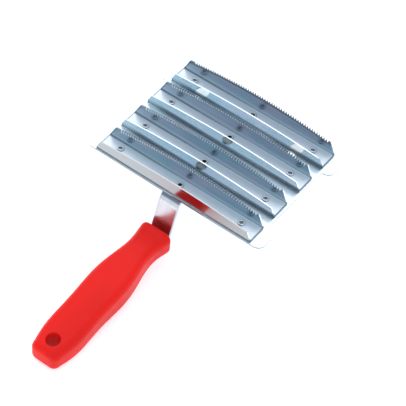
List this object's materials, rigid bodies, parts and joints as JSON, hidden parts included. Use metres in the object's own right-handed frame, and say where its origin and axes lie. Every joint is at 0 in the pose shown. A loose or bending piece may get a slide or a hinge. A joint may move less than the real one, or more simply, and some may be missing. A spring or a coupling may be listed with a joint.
{
  "type": "metal curry comb",
  "caption": "Grooming comb: toothed steel channels riveted on a flat eared plate, with an offset steel strap and a moulded plastic grip.",
  "frame": {"origin": "under the middle of the whole comb, level with the underside of the grip's butt", "axes": "+X along the toothed bars, +Y from the grip to the far edge of the plate, +Z the way the teeth point"},
  "size_m": [0.1368, 0.219, 0.0629],
  "materials": {
    "bar_steel": "bright zinc plate with a blue passivation tint",
    "plate_steel": "bright zinc plate",
    "rivet_steel": "zinc plated, set in place",
    "strap_steel": "bright zinc plate",
    "grip_plastic": "semi-gloss moulded plastic"
  },
  "bodies": {
    "root": {"base_plate": "plate_steel", "toothed_bar_1": "bar_steel", "toothed_bar_2": "bar_steel", "toothed_bar_3": "bar_steel", "toothed_bar_4": "bar_steel", "bar_rivet_1_left": "rivet_steel", "bar_rivet_1_centre": "rivet_steel", "bar_rivet_1_right": "rivet_steel", "bar_rivet_2_left": "rivet_steel", "bar_rivet_2_centre": "rivet_steel", "bar_rivet_2_right": "rivet_steel", "bar_rivet_3_left": "rivet_steel", "bar_rivet_3_centre": "rivet_steel", "bar_rivet_3_right": "rivet_steel", "bar_rivet_4_left": "rivet_steel", "bar_rivet_4_centre": "rivet_steel", "bar_rivet_4_right": "rivet_steel", "strap_rivet_1": "rivet_steel", "strap_rivet_2": "rivet_steel", "handle_strap": "strap_steel", "handle_grip": "grip_plastic"}
  },
  "joints": []
}
